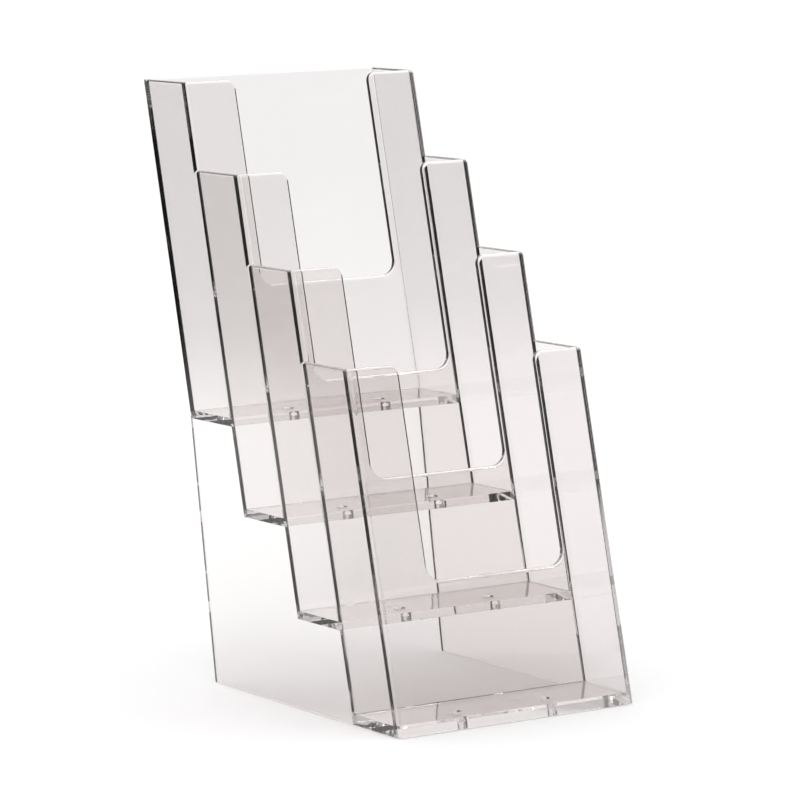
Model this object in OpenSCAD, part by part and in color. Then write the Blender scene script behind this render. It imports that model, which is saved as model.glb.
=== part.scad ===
// Four-tier countertop leaflet rack in clear plastic.
// Four pockets step down and forwards, and neighbouring pockets share one leaning wall.
// The back of each lower tier hangs under the one above, and two flat side skirts fill the
// stepped triangle behind, so the rack stands on its front pocket and the skirts' lower edges.
// Units are millimetres: X to the right, Y to the back, Z up, front faces towards -Y.
// The origin is the middle of the rack's footprint box, on the surface it stands on.
// Tiers and walls count from the back: tier 1 is the highest, tier 4 is the front pocket.

/* [Rack] */
// Outer width, set by a leaflet 99 wide with room for the fingers
rack_w = 116; // [108:0.5:124]
// Thickness of every wall, measured square to the wall
wall_t = 2.2; // [1.8:0.1:2.8]
// Angle by which the pocket walls lean back from upright
lean = 13.3; // [8:0.1:16]
// Distance from one pocket wall to the next, along Y
tier_pitch = 33.3; // [28:0.1:36]

/* [Heights] */
// Height of the front pocket's rim above the table
front_rim_h = 145.4; // [130:0.2:160]
// Rise of the rim from one tier to the next
rim_step = 36.8; // [32:0.2:40]
// Rise of the floor's underside from one tier to the next
floor_step = 37.4; // [32:0.2:40]

/* [Floors] */
// Thickness of the three upper floors
floor_t = 3.5; // [3:0.1:4.5]
// Thickness of the front pocket's floor, which is also the rack's foot
foot_floor_t = 4.4; // [3:0.1:6]
// Diameter of the two drain holes through each floor
hole_d = 4.8; // [3:0.1:6]
// Distance between the two holes in a floor
hole_pitch = 44; // [30:1:70]
// Distance from the holes to the wall in front of them
hole_setback = 11; // [6:0.5:16]

/* [Finger cutouts] */
// Width of the cutout in each front wall
cut_w = 66.4; // [50:1:80]
// Depth of the cutout below the rim
cut_depth = 86.4; // [60:0.2:100]
// Radius of the cutout's two lower corners
cut_bottom_r = 6.5; // [3:0.5:12]
// Radius of the flanges' upper inner corners
cut_top_r = 4; // [2:0.5:6]

/* [Corners and skirts] */
// Radius of the front wall's two outer upright corners
corner_r = 3; // [2.8:0.1:6]
// Depth of the footprint, from the front wall to the skirts' back edge
foot_depth = 146.4; // [135:0.2:150]

/* [Hidden] */
$fn = 96;

tiers = 4;
inner_w = rack_w - 2 * wall_t;
inner_r = corner_r - wall_t;
// A wall's thickness and a unit of height, both carried over to the Y direction
wall_y = wall_t / cos(lean);
lean_y = tan(lean);
top_h = front_rim_h + (tiers - 1) * rim_step;
rack_d = tiers * tier_pitch + top_h * lean_y + wall_y;
// Anything that only has to reach past the rack
reach = 2 * top_h;

// Heights of a tier's rim and of its floor's underside, and the thickness of its floor
function rim_z(tier) = front_rim_h + (tiers - tier) * rim_step;
function floor_z(tier) = (tiers - tier) * floor_step;
function slab_t(tier) = tier == tiers ? foot_floor_t : floor_t;
// Y of a wall's front and back faces at height z; wall 0 is the rear wall
function wall_front(wall, z) = -rack_d / 2 + (tiers - wall) * tier_pitch + z * lean_y;
function wall_back(wall, z) = wall_front(wall, z) + wall_y;

clear_plastic = [0.88, 0.86, 0.87, 0.45];
skirt_plastic = [0.80, 0.82, 0.86, 0.45];

// A side profile, given as [y, z] points, drawn out along X from x0 for a width w
module across(x0, w) {
    translate([x0, 0, 0]) rotate([90, 0, 90]) linear_extrude(w) children();
}

// Side profile of the leaning band from y_front to y_back behind a wall's front face at z = 0
module leaning_band(wall, y_front, y_back, z_low, z_high) {
    polygon([
        [wall_front(wall, z_low) + y_front, z_low],
        [wall_front(wall, z_low) + y_back, z_low],
        [wall_front(wall, z_high) + y_back, z_high],
        [wall_front(wall, z_high) + y_front, z_high]
    ]);
}

// A leaning upright that follows a wall, its plan outline drawn square to the lean
module leaning_upright(wall, z_low, z_high) {
    intersection() {
        translate([0, wall_front(wall, 0), 0]) rotate([-lean, 0, 0])
            translate([0, 0, -reach / 2]) linear_extrude(2 * reach) children();
        translate([-rack_w, -reach, z_low]) cube([2 * rack_w, 2 * reach, z_high - z_low]);
    }
}

// Plan outline of the waste outside a rounded corner at the left or right end of a wall
module corner_waste(side, r) {
    difference() {
        translate([side * (rack_w / 2 - r), 0]) scale([side, 1]) translate([0, -r]) square([2 * r, 2 * r]);
        translate([side * (rack_w / 2 - r), r]) circle(r);
    }
}

// Outline of the finger cutout, as seen from the front, its lower edge at z_low
module cutout_outline(z_low, z_high) {
    translate([-cut_w / 2, z_low + cut_bottom_r]) square([cut_w, cut_depth]);
    translate([-cut_w / 2 + cut_bottom_r, z_low]) square([cut_w - 2 * cut_bottom_r, cut_depth]);
    for (side = [-1, 1]) {
        translate([side * (cut_w / 2 - cut_bottom_r), z_low + cut_bottom_r]) circle(cut_bottom_r);
        difference() {
            translate([side * (cut_w / 2 + cut_top_r / 2), z_high]) square([cut_top_r, 2 * cut_top_r], center = true);
            translate([side * (cut_w / 2 + cut_top_r), z_high - cut_top_r]) circle(cut_top_r);
        }
    }
}

// Shell of one pocket: its front wall with the cutout, and the two side walls behind it.
// The front wall runs on down to the next floor, because it is that pocket's back wall.
module tier_shell(tier) {
    rim = rim_z(tier);
    wall_foot = tier == tiers ? 0 : floor_z(tier + 1);
    // The corners are rounded where nothing is joined on in front
    corner_foot = tier == tiers ? 0 : rim_z(tier + 1);
    difference() {
        union() {
            across(-rack_w / 2, rack_w) leaning_band(tier, 0, wall_y, wall_foot, rim);
            for (x0 = [-rack_w / 2, rack_w / 2 - wall_t])
                across(x0, wall_t) leaning_band(tier, 0, tier_pitch, floor_z(tier), rim);
        }
        for (side = [-1, 1])
            leaning_upright(tier, corner_foot, rim + wall_t) corner_waste(side, corner_r);
        translate([0, reach, 0]) rotate([90, 0, 0]) linear_extrude(2 * reach)
            cutout_outline(rim - cut_depth, rim);
    }
}

// Floor of one pocket, closed in by the pocket's four walls, with its two drain holes
module tier_floor(tier) {
    z_low = floor_z(tier);
    z_high = z_low + slab_t(tier);
    difference() {
        across(-inner_w / 2, inner_w) leaning_band(tier, wall_y, tier_pitch, z_low, z_high);
        for (side = [-1, 1])
            translate([side * hole_pitch / 2, wall_back(tier, z_high) + hole_setback, z_low - 1])
                cylinder(h = slab_t(tier) + 2, d = hole_d);
    }
}

// Flat skirt in line with the side walls, under the three upper tiers
module side_skirt(x0) {
    across(x0, wall_t)
        polygon([
            [-rack_d / 2 + foot_depth, 0],
            [wall_back(0, floor_z(1)), floor_z(1)],
            for (wall = [1 : tiers - 1], z = [floor_z(wall), floor_z(wall + 1)]) [wall_back(wall, z), z]
        ]);
}

// Plain back wall of the highest pocket, with its two back corners rounded
module rear_wall() {
    color(clear_plastic) difference() {
        across(-rack_w / 2, rack_w) leaning_band(0, 0, wall_y, floor_z(1), rim_z(1));
        for (side = [-1, 1])
            leaning_upright(0, floor_z(1) - wall_t, rim_z(1) + wall_t)
                translate([0, wall_t]) mirror([0, 1]) corner_waste(side, wall_t);
    }
}

module tier_1_shell() { color(clear_plastic) tier_shell(1); }
module tier_2_shell() { color(clear_plastic) tier_shell(2); }
module tier_3_shell() { color(clear_plastic) tier_shell(3); }
module tier_4_shell() { color(clear_plastic) tier_shell(4); }

module tier_1_floor() { color(clear_plastic) tier_floor(1); }
module tier_2_floor() { color(clear_plastic) tier_floor(2); }
module tier_3_floor() { color(clear_plastic) tier_floor(3); }
module tier_4_floor() { color(clear_plastic) tier_floor(4); }

module side_skirt_left() { color(skirt_plastic) side_skirt(-rack_w / 2); }
module side_skirt_right() { color(skirt_plastic) side_skirt(rack_w / 2 - wall_t); }

rear_wall();
tier_1_shell();
tier_2_shell();
tier_3_shell();
tier_4_shell();
tier_1_floor();
tier_2_floor();
tier_3_floor();
tier_4_floor();
side_skirt_left();
side_skirt_right();
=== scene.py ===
import math
import bmesh
import bpy
from mathutils import Euler, Matrix, Vector
from mathutils.bvhtree import BVHTree


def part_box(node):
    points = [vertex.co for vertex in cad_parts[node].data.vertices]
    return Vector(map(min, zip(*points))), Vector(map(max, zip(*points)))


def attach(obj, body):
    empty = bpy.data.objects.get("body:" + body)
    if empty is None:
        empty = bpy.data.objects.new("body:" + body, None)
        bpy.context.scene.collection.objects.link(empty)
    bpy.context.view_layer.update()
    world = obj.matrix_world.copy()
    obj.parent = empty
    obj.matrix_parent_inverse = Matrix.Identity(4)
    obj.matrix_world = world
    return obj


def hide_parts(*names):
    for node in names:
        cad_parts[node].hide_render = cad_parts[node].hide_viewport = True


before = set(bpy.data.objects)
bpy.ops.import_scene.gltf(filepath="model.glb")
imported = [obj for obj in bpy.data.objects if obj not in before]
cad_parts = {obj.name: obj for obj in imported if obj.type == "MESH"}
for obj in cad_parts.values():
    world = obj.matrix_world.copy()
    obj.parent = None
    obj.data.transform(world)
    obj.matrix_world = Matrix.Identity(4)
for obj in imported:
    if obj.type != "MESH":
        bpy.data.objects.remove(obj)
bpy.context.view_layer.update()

# ---------------------------------------------------------------- the rack's sizes, in metres
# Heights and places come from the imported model; wall 0 is the rear wall, tier 4 the front pocket.
MM = 0.001
TIERS = (1, 2, 3, 4)
RIM = {k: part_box(f"tier_{k}_shell")[1][2] for k in TIERS}
FLOOR = {k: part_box(f"tier_{k}_floor")[0][2] for k in TIERS}
SLAB = {k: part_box(f"tier_{k}_floor")[1][2] for k in TIERS}
HALF_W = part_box("rear_wall")[1][0]
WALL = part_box("side_skirt_left")[1][0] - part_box("side_skirt_left")[0][0]
INNER = HALF_W - WALL


def depth_of(node):
    low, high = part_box(node)
    return high[1] - low[1]


LEAN_Y = (depth_of("tier_3_shell") - depth_of("tier_4_shell")) / (RIM[3] - RIM[4])
LEAN = math.atan(LEAN_Y)
PITCH = depth_of("tier_4_shell") - RIM[4] * LEAN_Y
WALL_Y = WALL / math.cos(LEAN)
FRONT_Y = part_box("tier_4_shell")[0][1]
SKIRT_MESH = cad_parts["side_skirt_left"].data
SKIRT_FOOT_Y = max(v.co.y for v in SKIRT_MESH.vertices if v.co.z < 0.1 * MM)

# The finger cutouts, the floors' holes and the front corners have the CAD model's sizes
CUT_HALF = 33.2 * MM
CUT_DEPTH = 86.4 * MM
CUT_BOTTOM_R = 6.5 * MM
CUT_TOP_R = 4.0 * MM
HOLE_R = 2.4 * MM
HOLE_X = 22.0 * MM
HOLE_SETBACK = 11.0 * MM
CORNER_R = 3.0 * MM
# These differ from the CAD model: its back corners are rounder (2.2 mm) and it has no fillets
BACK_CORNER_R = 0.6 * MM
FILLET_R = 0.9 * MM
# Rims are rounded, more outside than inside; a cutout's upright edges are nearly square, and the
# foot only has its arris taken off
OUTER_R = 1.35 * MM
INSIDE_R = 0.6 * MM
UPRIGHT_R = 0.45 * MM
ARRIS = 0.3 * MM


def wall_y(wall):
    """Y of a wall's front face where its plane meets the table, in the upright (unleaned) space."""
    return FRONT_Y + (4 - wall) * PITCH


# ---------------------------------------------------------------- mesh helpers
# The rack is drawn upright and then leaned: every point moves back by its height times LEAN_Y.
def new_object(name, mesh):
    obj = bpy.data.objects.new(name, mesh)
    bpy.context.scene.collection.objects.link(obj)
    return obj


def prism(outline, place, low, high):
    """A closed prism: outline is a list of 2D points, place(a, b, c) puts a point at depth c."""
    bm = bmesh.new()
    lower = [bm.verts.new(place(a, b, low)) for a, b in outline]
    upper = [bm.verts.new(place(a, b, high)) for a, b in outline]
    bm.faces.new(lower[::-1])
    bm.faces.new(upper)
    for i, corner in enumerate(lower):
        j = (i + 1) % len(lower)
        bm.faces.new((corner, lower[j], upper[j], upper[i]))
    bmesh.ops.recalc_face_normals(bm, faces=bm.faces)
    mesh = bpy.data.meshes.new("prism")
    bm.to_mesh(mesh)
    bm.free()
    return new_object("prism", mesh)


def along_x(y, z, x):
    return (x, y, z)


def along_y(x, z, y):
    return (x, y, z)


def along_z(x, y, z):
    return (x, y, z)


def box(x0, x1, y0, y1, z0, z1):
    return prism([(x0, y0), (x1, y0), (x1, y1), (x0, y1)], along_z, z0, z1)


def arc(cx, cy, rx, ry, start, stop, steps):
    """Points of an elliptical arc between two angles in degrees, both ends included."""
    angles = [math.radians(start + (stop - start) * i / steps) for i in range(steps + 1)]
    return [(cx + rx * math.cos(a), cy + ry * math.sin(a)) for a in angles]


def boolean(obj, tool, operation):
    """Combines tool into obj, exactly, and drops the tool."""
    mod = obj.modifiers.new("cut", "BOOLEAN")
    mod.operation = operation
    mod.object = tool
    mod.solver = "EXACT"
    mod.material_mode = "TRANSFER"
    apply_modifiers(obj)
    bpy.data.objects.remove(tool)


def apply_modifiers(obj):
    graph = bpy.context.evaluated_depsgraph_get()
    mesh = bpy.data.meshes.new_from_object(obj.evaluated_get(graph))
    obj.modifiers.clear()
    obj.data = mesh


def tidy(obj):
    """Welds doubles, merges faces that lie in one plane, closes slits and drops what is loose."""
    bm = bmesh.new()
    bm.from_mesh(obj.data)
    bmesh.ops.remove_doubles(bm, verts=bm.verts, dist=0.001 * MM)
    bmesh.ops.dissolve_limit(
        bm, angle_limit=math.radians(0.2), verts=bm.verts, edges=bm.edges, delimit={"MATERIAL"}
    )
    slits = [v for v in bm.verts if v.is_boundary]
    bmesh.ops.remove_doubles(bm, verts=slits, dist=0.03 * MM)
    bmesh.ops.delete(bm, geom=[e for e in bm.edges if not e.link_faces], context="EDGES")
    bmesh.ops.delete(bm, geom=[v for v in bm.verts if not v.link_faces], context="VERTS")
    bm.to_mesh(obj.data)
    bm.free()


def round_edges(obj, radius_of, segments):
    """Rounds the edges for which radius_of(edge) is more than 0, each to its own radius.

    No radius may be larger than OUTER_R, which has the bevel weight 1.
    """
    bm = bmesh.new()
    bm.from_mesh(obj.data)
    weight = bm.edges.layers.float.new("bevel_weight_edge")
    for edge in bm.edges:
        if len(edge.link_faces) == 2 and edge.is_convex:
            if edge.calc_face_angle(0) > math.radians(40):
                edge[weight] = radius_of(edge) / OUTER_R
    bm.to_mesh(obj.data)
    bm.free()
    mod = obj.modifiers.new("round", "BEVEL")
    mod.limit_method = "WEIGHT"
    mod.width = OUTER_R
    mod.segments = segments
    mod.use_clamp_overlap = True
    mod.miter_outer = "MITER_SHARP"
    apply_modifiers(obj)


def lean_back(obj):
    for vertex in obj.data.vertices:
        vertex.co.y += vertex.co.z * LEAN_Y


# ---------------------------------------------------------------- the clear body
def shell_body(k):
    """One pocket's front wall and side walls, rims and cutout rounded, still upright."""
    front = wall_y(k)
    inner_r = CORNER_R - WALL
    fillet, behind = FILLET_R, wall_y(k - 1)
    stretch = 1 / math.cos(LEAN)
    # The sides run on into the wall behind, past its own rounded corner
    sunk = behind + WALL_Y * 0.5
    rear = sunk + (CORNER_R if k > 1 else WALL_Y * 0.25)
    notch_x = INNER + WALL * 0.1
    corner_y = front + CORNER_R * stretch
    outline = [(-HALF_W, rear)]
    outline += arc(-HALF_W + CORNER_R, corner_y, CORNER_R, CORNER_R * stretch, 180, 270, 10)
    outline += arc(HALF_W - CORNER_R, corner_y, CORNER_R, CORNER_R * stretch, 270, 360, 10)
    outline += [(HALF_W, rear), (notch_x, rear), (notch_x, sunk), (INNER - fillet, sunk)]
    outline += arc(INNER - fillet, behind - fillet, fillet, fillet, 90, 0, 6)
    outline += arc(INNER - inner_r, corner_y, inner_r, inner_r * stretch, 360, 270, 6)
    outline += arc(-INNER + inner_r, corner_y, inner_r, inner_r * stretch, 270, 180, 6)
    outline += arc(-INNER + fillet, behind - fillet, fillet, fillet, 180, 90, 6)
    outline += [(-INNER + fillet, sunk), (-notch_x, sunk), (-notch_x, rear)]
    foot = FLOOR[k + 1] if k < 4 else 0.0
    body = prism(outline, along_z, foot, RIM[k])
    if k < 4:
        # Below its own floor only the front wall goes on
        boolean(body, box(-1, 1, front + WALL_Y, rear + 1, foot - 1, FLOOR[k]), "DIFFERENCE")
    boolean(body, cutout_tool(k), "DIFFERENCE")
    tidy(body)

    def radius(edge):
        a, b = (v.co for v in edge.verts)
        middle = (a + b) / 2
        if min(a.y, b.y) > behind - 1e-5:
            return 0.0
        if middle.z > RIM[k] - CUT_DEPTH - 1e-5:
            on_rim = min(a.z, b.z) > RIM[k] - 1e-5
            in_cut = abs(middle.x) < CUT_HALF + CUT_TOP_R + 1e-5
            in_cut = in_cut and middle.y < front + WALL_Y + 1e-5
            if not (on_rim or in_cut):
                return 0.0
            if on_rim:
                skin = min(edge.link_faces, key=lambda face: abs(face.normal.z)).normal
            else:
                skin = max(edge.link_faces, key=lambda face: abs(face.normal.y)).normal
            outwards = skin.dot(middle - Vector((0, front + PITCH / 2, middle.z))) > 0
            full = OUTER_R if outwards else INSIDE_R
            up = (middle.z - RIM[k] + CUT_TOP_R) / CUT_TOP_R
            down = (RIM[k] - CUT_DEPTH + CUT_BOTTOM_R - middle.z) / CUT_BOTTOM_R
            level = max(up, down, 0.0) if in_cut else 1.0
            return UPRIGHT_R + (full - UPRIGHT_R) * min(level, 1.0)
        return ARRIS if k == 4 and middle.z < 1e-5 else 0.0

    round_edges(body, radius, 4)
    return body


def cutout_tool(k):
    """What the finger cutout takes out of wall k, drawn as seen from the front."""
    low, high = RIM[k] - CUT_DEPTH, RIM[k]
    above = high + 0.02
    right = arc(CUT_HALF - CUT_BOTTOM_R, low + CUT_BOTTOM_R, CUT_BOTTOM_R, CUT_BOTTOM_R, 270, 360, 12)
    right += arc(CUT_HALF + CUT_TOP_R, high - CUT_TOP_R, CUT_TOP_R, CUT_TOP_R, 180, 90, 10)
    right += [(CUT_HALF + CUT_TOP_R, above)]
    left = [(-x, z) for x, z in reversed(right)]
    return prism(right + left, along_y, wall_y(k) - 0.01, wall_y(k) + 0.01)


def rear_body():
    """The plain back wall of the highest pocket, its two back corners rounded."""
    front, back, r = wall_y(0), wall_y(0) + WALL_Y, BACK_CORNER_R
    outline = [(-HALF_W, front), (HALF_W, front)]
    outline += arc(HALF_W - r, back - r, r, r, 0, 90, 6)
    outline += arc(-HALF_W + r, back - r, r, r, 90, 180, 6)
    body = prism(outline, along_z, FLOOR[1], RIM[1])

    def radius(edge):
        if min(v.co.z for v in edge.verts) < RIM[1] - 1e-5:
            return 0.0
        return INSIDE_R if max(v.co.y for v in edge.verts) < front + 1e-5 else OUTER_R

    round_edges(body, radius, 4)
    return body


def floor_body(k):
    """The slab that closes pocket k, with two holes, its edges sunk into the walls."""
    sink = WALL * 0.5
    front, rear = wall_y(k) + sink, wall_y(k - 1) + sink
    slab = box(-INNER - sink, INNER + sink, front, rear, FLOOR[k], SLAB[k])
    for side in (-1, 1):
        # The holes are upright, so they lean forwards here and come upright when the rack is leaned
        y = wall_y(k) + WALL_Y + HOLE_SETBACK + SLAB[k] * LEAN_Y
        ring = arc(side * HOLE_X, y, HOLE_R, HOLE_R, 0, 360, 40)[:-1]
        drill = prism(ring, along_z, FLOOR[k] - 0.01, SLAB[k] + 0.01)
        for vertex in drill.data.vertices:
            vertex.co.y -= vertex.co.z * LEAN_Y
        boolean(slab, drill, "DIFFERENCE")
    return slab


def skirt_body(side):
    """The stepped panel under the upper tiers, its upper edges sunk into the walls."""
    sink = WALL * 0.5
    back = wall_y(0) + WALL_Y
    outline = [(SKIRT_FOOT_Y, 0.0), (back, FLOOR[1]), (back, FLOOR[1] + sink)]
    for k in (1, 2, 3):
        outline += [(wall_y(k) + sink, FLOOR[k] + sink), (wall_y(k) + sink, FLOOR[k + 1] + sink)]
    outline[-1] = (outline[-1][0], 0.0)
    x0, x1 = sorted((side * HALF_W, side * INNER))
    return prism(outline, along_x, x0, x1)


def whole_body():
    parts = [rear_body()] + [shell_body(k) for k in TIERS] + [floor_body(k) for k in TIERS]
    parts += [skirt_body(-1), skirt_body(1)]
    body = parts[0]
    for part in parts[1:]:
        boolean(body, part, "UNION")
    return body


# ---------------------------------------------------------------- the pieces
# The clear body is cut into the same pieces as the CAD model. A cut face is a bonded joint: it
# carries the bond material, so that light passes from one piece into the next unbent.
GLASS, BOND = 0, 1
FAR = 0.4


def floor_region(k):
    return box(-INNER, INNER, wall_y(k) + WALL_Y, wall_y(k - 1), FLOOR[k], SLAB[k])


def shell_region(k):
    """The space of one shell: its walls down to its floor, and only its front wall below that."""
    front, rear = wall_y(k), wall_y(k - 1)
    if k == 4:
        region = box(-FAR, FAR, front - FAR, rear, -FAR, FAR)
    else:
        low = FLOOR[k + 1] if k < 3 else -FAR
        outline = [
            (front, low), (front + WALL_Y, low), (front + WALL_Y, FLOOR[k]),
            (rear, FLOOR[k]), (rear, FAR), (front, FAR),
        ]
        region = prism(outline, along_x, -FAR, FAR)
    boolean(region, floor_region(k), "DIFFERENCE")
    return region


def rear_region():
    return box(-FAR, FAR, wall_y(0), wall_y(0) + FAR, FLOOR[1], FAR)


def skirt_region(side):
    """The space behind and below all the walls and floors, on one side."""
    behind = {k: wall_y(k) + WALL_Y for k in (1, 2, 3)}
    outline = [(behind[3], -FAR), (FAR, -FAR), (FAR, FLOOR[1]), (behind[1], FLOOR[1])]
    outline += [(behind[1], FLOOR[2]), (behind[2], FLOOR[2])]
    outline += [(behind[2], FLOOR[3]), (behind[3], FLOOR[3])]
    x0, x1 = sorted((0.0, side * FAR))
    return prism(outline, along_x, x0, x1)


def inside(tree, point):
    """True if the point is inside the closed body.

    A ray from inside crosses the skin an odd number of times.
    """
    direction = Vector((0.431, 0.217, 0.876)).normalized()
    crossings = 0
    while True:
        hit, _, _, _ = tree.ray_cast(point, direction)
        if hit is None:
            return crossings % 2 == 1
        crossings += 1
        point = hit + direction * 1e-6


def point_on(mesh, loops):
    """The middle of the largest triangle of a face."""
    def area(triangle):
        a, b, c = (mesh.vertices[v].co for v in triangle.vertices)
        return (b - a).cross(c - a).length
    largest = max(loops, key=area)
    return sum((mesh.vertices[v].co for v in largest.vertices), Vector()) / 3


def mark_joints(mesh, tree):
    """Gives the bond material to the faces that have the clear body on both sides."""
    mesh.materials.clear()
    mesh.materials.append(PLASTIC)
    mesh.materials.append(JOINT)
    mesh.calc_loop_triangles()
    triangles = {}
    for triangle in mesh.loop_triangles:
        triangles.setdefault(triangle.polygon_index, []).append(triangle)
    for face in mesh.polygons:
        outside = point_on(mesh, triangles[face.index]) + face.normal * 0.02 * MM
        face.material_index = BOND if inside(tree, outside) else GLASS


def cut_piece(name, whole, tree, region):
    piece = new_object(name, whole.data.copy())
    boolean(piece, region, "INTERSECT")
    mark_joints(piece.data, tree)
    tidy(piece)
    return piece


def cut_pieces():
    """All eleven pieces, by the name of the CAD node that each one replaces."""
    whole = whole_body()
    skin = bmesh.new()
    skin.from_mesh(whole.data)
    tree = BVHTree.FromBMesh(skin)
    skin.free()
    pieces = {"rear_wall": cut_piece("clear_rear_wall", whole, tree, rear_region())}
    for k in TIERS:
        pieces[f"tier_{k}_shell"] = cut_piece(f"clear_shell_{k}", whole, tree, shell_region(k))
        pieces[f"tier_{k}_floor"] = cut_piece(f"clear_floor_{k}", whole, tree, floor_region(k))
    for side, word in ((-1, "left"), (1, "right")):
        region = skirt_region(side)
        pieces[f"side_skirt_{word}"] = cut_piece(f"clear_skirt_{word}", whole, tree, region)
    bpy.data.objects.remove(whole)
    return pieces


def smooth(piece):
    """Shades the roundings smooth and keeps the flats flat."""
    bm = bmesh.new()
    bm.from_mesh(piece.data)
    for face in bm.faces:
        face.smooth = True
    for edge in bm.edges:
        if len(edge.link_faces) == 2:
            turned = edge.calc_face_angle(0) > math.radians(32)
            one, other = (face.material_index for face in edge.link_faces)
            edge.smooth = not turned and one == other
    bm.to_mesh(piece.data)
    bm.free()
    mod = piece.modifiers.new("normals", "WEIGHTED_NORMAL")
    mod.keep_sharp = True
    mod.weight = 100
    apply_modifiers(piece)


# ---------------------------------------------------------------- materials
def new_material(name):
    material = bpy.data.materials.new(name)
    material.use_nodes = True
    nodes = material.node_tree.nodes
    nodes.clear()
    return material, nodes, material.node_tree.links


def add(nodes, kind, **settings):
    """A new shader node with its properties and its sockets set, _ standing for a space."""
    node = nodes.new(kind)
    for key, value in settings.items():
        if hasattr(node, key):
            setattr(node, key, value)
        else:
            node.inputs[key.replace("_", " ")].default_value = value
    return node


def clear_plastic():
    """Clear plastic of an unknown kind: faintly warm, with a slow waviness and a handled surface.

    Its IOR is a guess between acrylic's 1.49 and polystyrene's 1.59. Shadow rays go straight
    through it with a fixed tint, in place of true caustics.
    """
    material, nodes, links = new_material("clear_plastic")
    place = add(nodes, "ShaderNodeTexCoord")
    waves = add(nodes, "ShaderNodeTexNoise", Scale=24.0, Detail=3.0)
    bump = add(nodes, "ShaderNodeBump", Strength=0.1, Distance=0.001)
    handled = add(nodes, "ShaderNodeTexNoise", Scale=60.0, Detail=4.0, Roughness=0.6)
    polish = add(nodes, "ShaderNodeMapRange", From_Min=0.45, From_Max=0.75, To_Max=0.04)
    shader = add(nodes, "ShaderNodeBsdfPrincipled", IOR=1.57, Transmission_Weight=1.0)
    shader.inputs["Base Color"].default_value = (0.965, 0.945, 0.942, 1)
    path = add(nodes, "ShaderNodeLightPath")
    open_to_light = add(nodes, "ShaderNodeBsdfTransparent", Color=(0.95, 0.937, 0.935, 1))
    mix = add(nodes, "ShaderNodeMixShader")
    output = add(nodes, "ShaderNodeOutputMaterial")
    links.new(place.outputs["Object"], waves.inputs["Vector"])
    links.new(place.outputs["Object"], handled.inputs["Vector"])
    links.new(waves.outputs["Fac"], bump.inputs["Height"])
    links.new(handled.outputs["Fac"], polish.inputs["Value"])
    links.new(polish.outputs["Result"], shader.inputs["Roughness"])
    links.new(bump.outputs["Normal"], shader.inputs["Normal"])
    links.new(path.outputs["Is Shadow Ray"], mix.inputs["Fac"])
    links.new(shader.outputs["BSDF"], mix.inputs[1])
    links.new(open_to_light.outputs["BSDF"], mix.inputs[2])
    links.new(mix.outputs["Shader"], output.inputs["Surface"])
    return material


def bonded_joint():
    """Where two clear pieces meet as one body: light goes straight on."""
    material, nodes, links = new_material("bonded_joint")
    shader = add(nodes, "ShaderNodeBsdfTransparent", Color=(1, 1, 1, 1))
    output = add(nodes, "ShaderNodeOutputMaterial")
    links.new(shader.outputs["BSDF"], output.inputs["Surface"])
    return material


# ---------------------------------------------------------------- the stage
# The floor and the room are plain white to the eye and to the floor's own lighting. Only what
# the plastic mirrors, inside or out, sees the made-up studio around it: a white backdrop behind,
# dark flags at the sides and a dark camera end, which draw the edges of clear plastic. It is
# fixed in the world. Its directions and strengths were fitted to the photograph.
BACKDROP_HEADING = math.radians(32)
BACKDROP_HALF = math.radians(24)
FLAG_HEADING = math.radians(100)
CAMERA_END = math.radians(165)
CAMERA_END_HALF = math.radians(30)
STUDIO_TINT = (1, 0.97, 0.965, 1)
# How brightly each part of the studio shows in the plastic
STUDIO_WHITE = 0.95
WALLS_LOW = 0.42
WALLS_MIDDLE = 0.45
CAMERA_END_LOSS = 0.95
CEILING = 1.5
FLOOR_NEAR = 0.9
FLOOR_FAR = 0.03
FLOOR_UNDER = 0.65
FLOOR_BEHIND = 0.75
# What is left of mirrored light after many reflections, going flatly and going steeply
LONG_WAY = 0.08
STEEP_WAY = 0.75
DOME = 1.2


def maths(tree, operation, *values):
    """A maths node fed by the values, which are numbers or other nodes' sockets; its result."""
    node = tree.nodes.new("ShaderNodeMath")
    node.operation = operation
    for socket, value in zip(node.inputs, values):
        if isinstance(value, bpy.types.NodeSocket):
            tree.links.new(value, socket)
        else:
            socket.default_value = value
    return node.outputs[0]


def step(tree, value, low, high, at_low=0.0, at_high=1.0):
    """A smooth step of value from at_low to at_high between low and high."""
    node = tree.nodes.new("ShaderNodeMapRange")
    node.interpolation_type = "SMOOTHSTEP"
    for socket, number in zip(list(node.inputs)[1:5], (low, high, at_low, at_high)):
        socket.default_value = number
    tree.links.new(value, node.inputs["Value"])
    return node.outputs["Result"]


def sector(tree, heading, middle, half, soft=math.radians(5)):
    """1 where the heading is within half of the middle, 0 outside, with a soft border."""
    away = maths(tree, "COSINE", maths(tree, "SUBTRACT", heading, middle))
    return step(tree, away, math.cos(half + soft), math.cos(half - soft))


def heading_of(tree, vector):
    """The compass heading of a direction, from +Y towards +X, and its height."""
    split = tree.nodes.new("ShaderNodeSeparateXYZ")
    tree.links.new(vector, split.inputs["Vector"])
    return maths(tree, "ARCTAN2", split.outputs["X"], split.outputs["Y"]), split.outputs["Z"]


def sine(degrees):
    return math.sin(math.radians(degrees))


def mirrored(tree, steep):
    """1 for light that the plastic has mirrored, and how much of it is left.

    It fades with the number of reflections, but not below steep. The fading was chosen to make
    the walls' edges dark and the floors' ends light, as photographed; it isn't physical.
    """
    path = tree.nodes.new("ShaderNodeLightPath")
    depth = path.outputs["Glossy Depth"]
    left = larger(tree, step(tree, depth, 2.5, 6.0, 1.0, LONG_WAY), steep)
    return maths(tree, "GREATER_THAN", depth, 0.5), left


def between_flags(tree, heading):
    """1 towards the front and the back, 0 towards the dark flags at the two sides."""
    across = maths(tree, "SINE", maths(tree, "SUBTRACT", heading, FLAG_HEADING))
    return maths(tree, "MULTIPLY", across, across)


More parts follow.
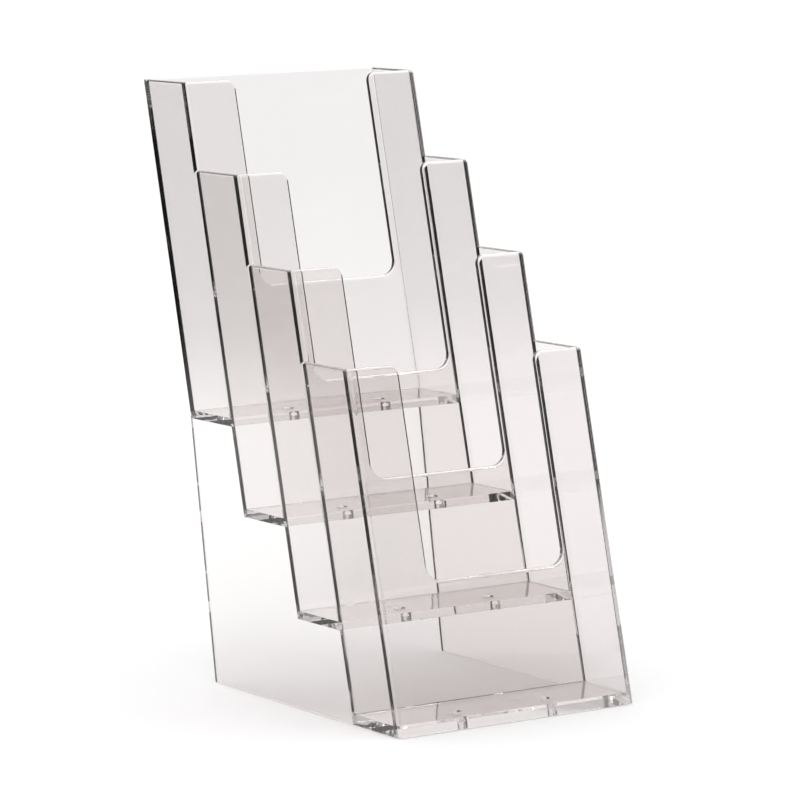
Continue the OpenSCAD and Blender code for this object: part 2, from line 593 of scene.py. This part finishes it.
def larger(tree, a, b):
    return maths(tree, "MAXIMUM", a, b)


def pale_floor():
    """White paper; in a mirror image it ends in a dark room a step away, except at the backdrop."""
    material, nodes, links = new_material("pale_floor")
    tree = material.node_tree
    place = add(nodes, "ShaderNodeTexCoord")
    heading, _ = heading_of(tree, place.outputs["Object"])
    reach = nodes.new("ShaderNodeVectorMath")
    reach.operation = "LENGTH"
    links.new(place.outputs["Object"], reach.inputs[0])
    distance = reach.outputs["Value"]
    near = step(tree, distance, 0.8, 1.5, FLOOR_NEAR, FLOOR_FAR)
    open_side = step(tree, between_flags(tree, heading), 0.0, 0.6, 0.15, 1.0)
    around = maths(tree, "MULTIPLY", near, open_side)
    under = step(tree, distance, 0.25, 0.5, FLOOR_UNDER, 0.0)
    backdrop = sector(tree, heading, BACKDROP_HEADING, BACKDROP_HALF)
    behind = maths(tree, "MULTIPLY", backdrop, FLOOR_BEHIND)
    is_mirrored, left = mirrored(tree, step(tree, distance, 0.22, 0.36, STEEP_WAY, 0.0))
    seen = maths(tree, "MULTIPLY", larger(tree, larger(tree, around, under), behind), left)
    paper = add(nodes, "ShaderNodeBsdfDiffuse", Color=(0.85, 0.85, 0.85, 1))
    studio = add(nodes, "ShaderNodeEmission", Color=STUDIO_TINT)
    links.new(seen, studio.inputs["Strength"])
    mix = add(nodes, "ShaderNodeMixShader")
    output = add(nodes, "ShaderNodeOutputMaterial")
    links.new(is_mirrored, mix.inputs["Fac"])
    links.new(paper.outputs["BSDF"], mix.inputs[1])
    links.new(studio.outputs["Emission"], mix.inputs[2])
    links.new(mix.outputs["Shader"], output.inputs["Surface"])
    return material


def make_floor():
    bm = bmesh.new()
    bmesh.ops.create_grid(bm, x_segments=1, y_segments=1, size=60)
    mesh = bpy.data.meshes.new("floor")
    bm.to_mesh(mesh)
    bm.free()
    mesh.materials.append(pale_floor())
    floor = new_object("floor", mesh)
    floor.location.z = -0.5 * MM


def make_world():
    """A plain white dome, with the studio in it for what the plastic mirrors."""
    world = bpy.data.worlds.new("room")
    bpy.context.scene.world = world
    world.use_nodes = True
    tree = world.node_tree
    nodes, links = tree.nodes, tree.links
    nodes.clear()
    place = add(nodes, "ShaderNodeTexCoord")
    heading, height = heading_of(tree, place.outputs["Generated"])
    camera_end = sector(tree, heading, CAMERA_END, CAMERA_END_HALF)
    lit = maths(tree, "SUBTRACT", 1.0, maths(tree, "MULTIPLY", camera_end, CAMERA_END_LOSS))
    low = maths(tree, "MULTIPLY", between_flags(tree, heading), WALLS_LOW)
    low = maths(tree, "MULTIPLY", low, lit)
    middle = maths(tree, "MULTIPLY", lit, WALLS_MIDDLE)
    rising = step(tree, height, sine(12), sine(18))
    walls = nodes.new("ShaderNodeMix")
    links.new(rising, walls.inputs["Factor"])
    links.new(low, walls.inputs["A"])
    links.new(middle, walls.inputs["B"])
    backdrop = sector(tree, heading, BACKDROP_HEADING, BACKDROP_HALF)
    white = maths(tree, "MULTIPLY", backdrop, STUDIO_WHITE)
    overhead = step(tree, height, sine(38), sine(46), 0.0, CEILING)
    steep = step(tree, height, sine(22), sine(28), 0.0, STEEP_WAY)
    is_mirrored, left = mirrored(tree, steep)
    seen = larger(tree, larger(tree, walls.outputs["Result"], white), overhead)
    seen = maths(tree, "MULTIPLY", seen, left)
    dome = add(nodes, "ShaderNodeBackground", Color=(1, 1, 1, 1), Strength=DOME)
    studio = add(nodes, "ShaderNodeBackground", Color=STUDIO_TINT)
    links.new(seen, studio.inputs["Strength"])
    mix = add(nodes, "ShaderNodeMixShader")
    output = add(nodes, "ShaderNodeOutputWorld")
    links.new(is_mirrored, mix.inputs["Fac"])
    links.new(dome.outputs["Background"], mix.inputs[1])
    links.new(studio.outputs["Background"], mix.inputs[2])
    links.new(mix.outputs["Shader"], output.inputs["Surface"])


def make_lamp():
    """A softbox above and to the right, behind the rack, for the faint shadow at its front left."""
    light = bpy.data.lights.new("softbox", "AREA")
    light.size = 0.5
    light.energy = 3.5
    lamp = bpy.data.objects.new("softbox", light)
    bpy.context.scene.collection.objects.link(lamp)
    lamp.location = (0.9, 0.5, 1.3)
    lamp.rotation_euler = (Vector((0, 0, 0.1)) - lamp.location).to_track_quat("-Z", "Y").to_euler()
    light.cycles.is_caustics_light = False


def make_camera():
    """The camera at the photograph's viewing angle, with its slight roll."""
    data = bpy.data.cameras.new("camera")
    data.lens = 195.02
    data.sensor_width = 36
    camera = bpy.data.objects.new("camera", data)
    bpy.context.scene.collection.objects.link(camera)
    turn = Euler((math.radians(82.467), 0, math.radians(-32.128))).to_matrix()
    roll = Matrix.Rotation(math.radians(-1.117), 3, "Z")
    camera.matrix_world = Matrix.Translation((-0.95839, -1.53807, 0.36118)) @ (turn @ roll).to_4x4()
    bpy.context.scene.camera = camera


def set_scene():
    scene = bpy.context.scene
    scene.view_settings.view_transform = "Standard"
    scene.cycles.max_bounces = 96
    scene.cycles.transmission_bounces = 96
    scene.cycles.glossy_bounces = 96
    scene.cycles.transparent_max_bounces = 128
    scene.cycles.caustics_refractive = True
    scene.cycles.caustics_reflective = True


PLASTIC, JOINT = clear_plastic(), bonded_joint()
for node, piece in cut_pieces().items():
    lean_back(piece)
    smooth(piece)
    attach(piece, "root")
    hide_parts(node)
make_floor()
make_world()
make_lamp()
make_camera()
set_scene()
